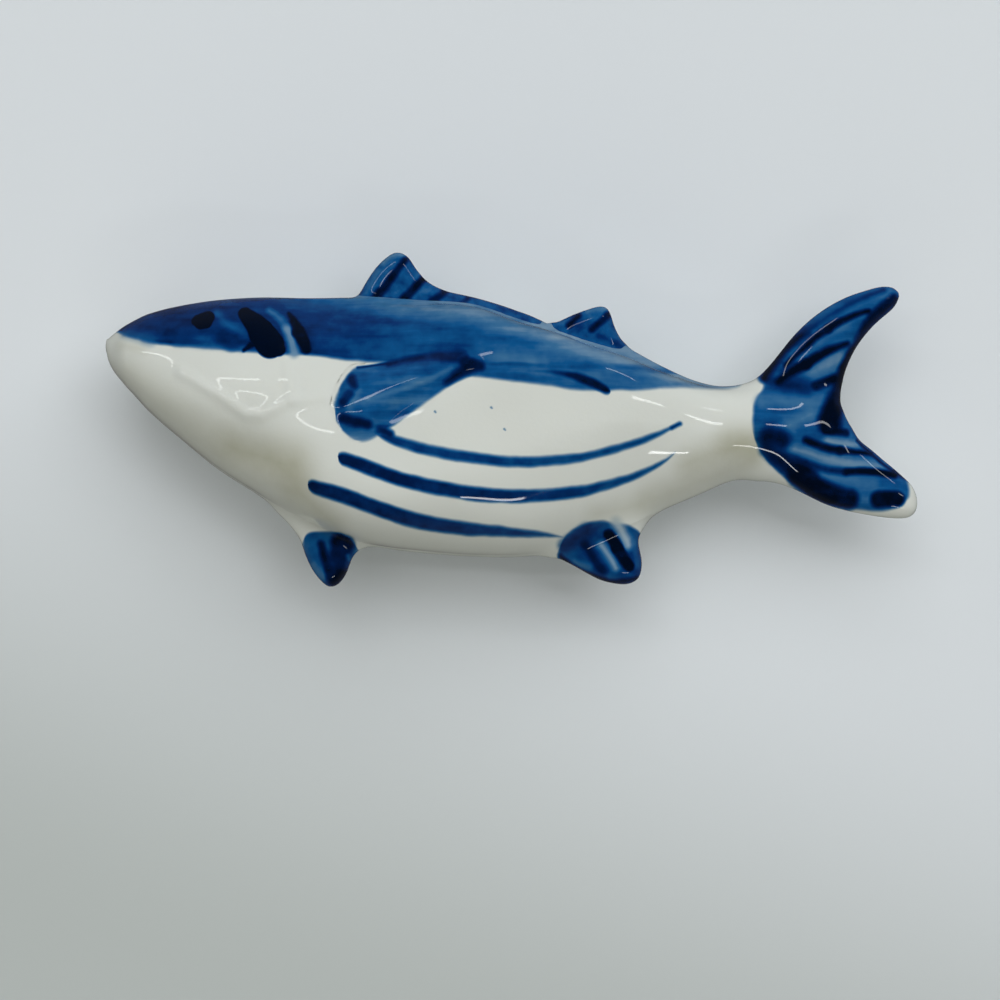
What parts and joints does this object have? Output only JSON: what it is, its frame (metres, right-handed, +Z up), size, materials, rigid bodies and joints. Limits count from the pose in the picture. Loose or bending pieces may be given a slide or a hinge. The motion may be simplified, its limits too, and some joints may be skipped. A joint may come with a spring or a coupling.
{
  "type": "chopstick rest",
  "caption": "Glazed porcelain chopstick rest shaped as a fish lying on its flank, with a flat foot, a forked tail and a narrow waist for the tips.",
  "frame": {"origin": "middle of the flat foot, on the surface that the rest stands on", "axes": "+X from the head to the tail, +Y from the belly to the back, +Z up"},
  "size_m": [0.076, 0.0312, 0.0172],
  "materials": {
    "porcelain_white": "clear gloss glaze over white porcelain, with cobalt painting under the glaze and a bare matt foot",
    "porcelain_cobalt": "clear gloss glaze over brushed cobalt blue with darker strokes"
  },
  "bodies": {
    "root": {"left_flank": "porcelain_white", "right_flank": "porcelain_white", "first_dorsal_fin": "porcelain_cobalt", "second_dorsal_fin": "porcelain_cobalt", "tail_fin": "porcelain_cobalt", "pelvic_fin": "porcelain_cobalt", "anal_fin": "porcelain_cobalt", "pectoral_fin": "porcelain_cobalt"}
  },
  "joints": []
}
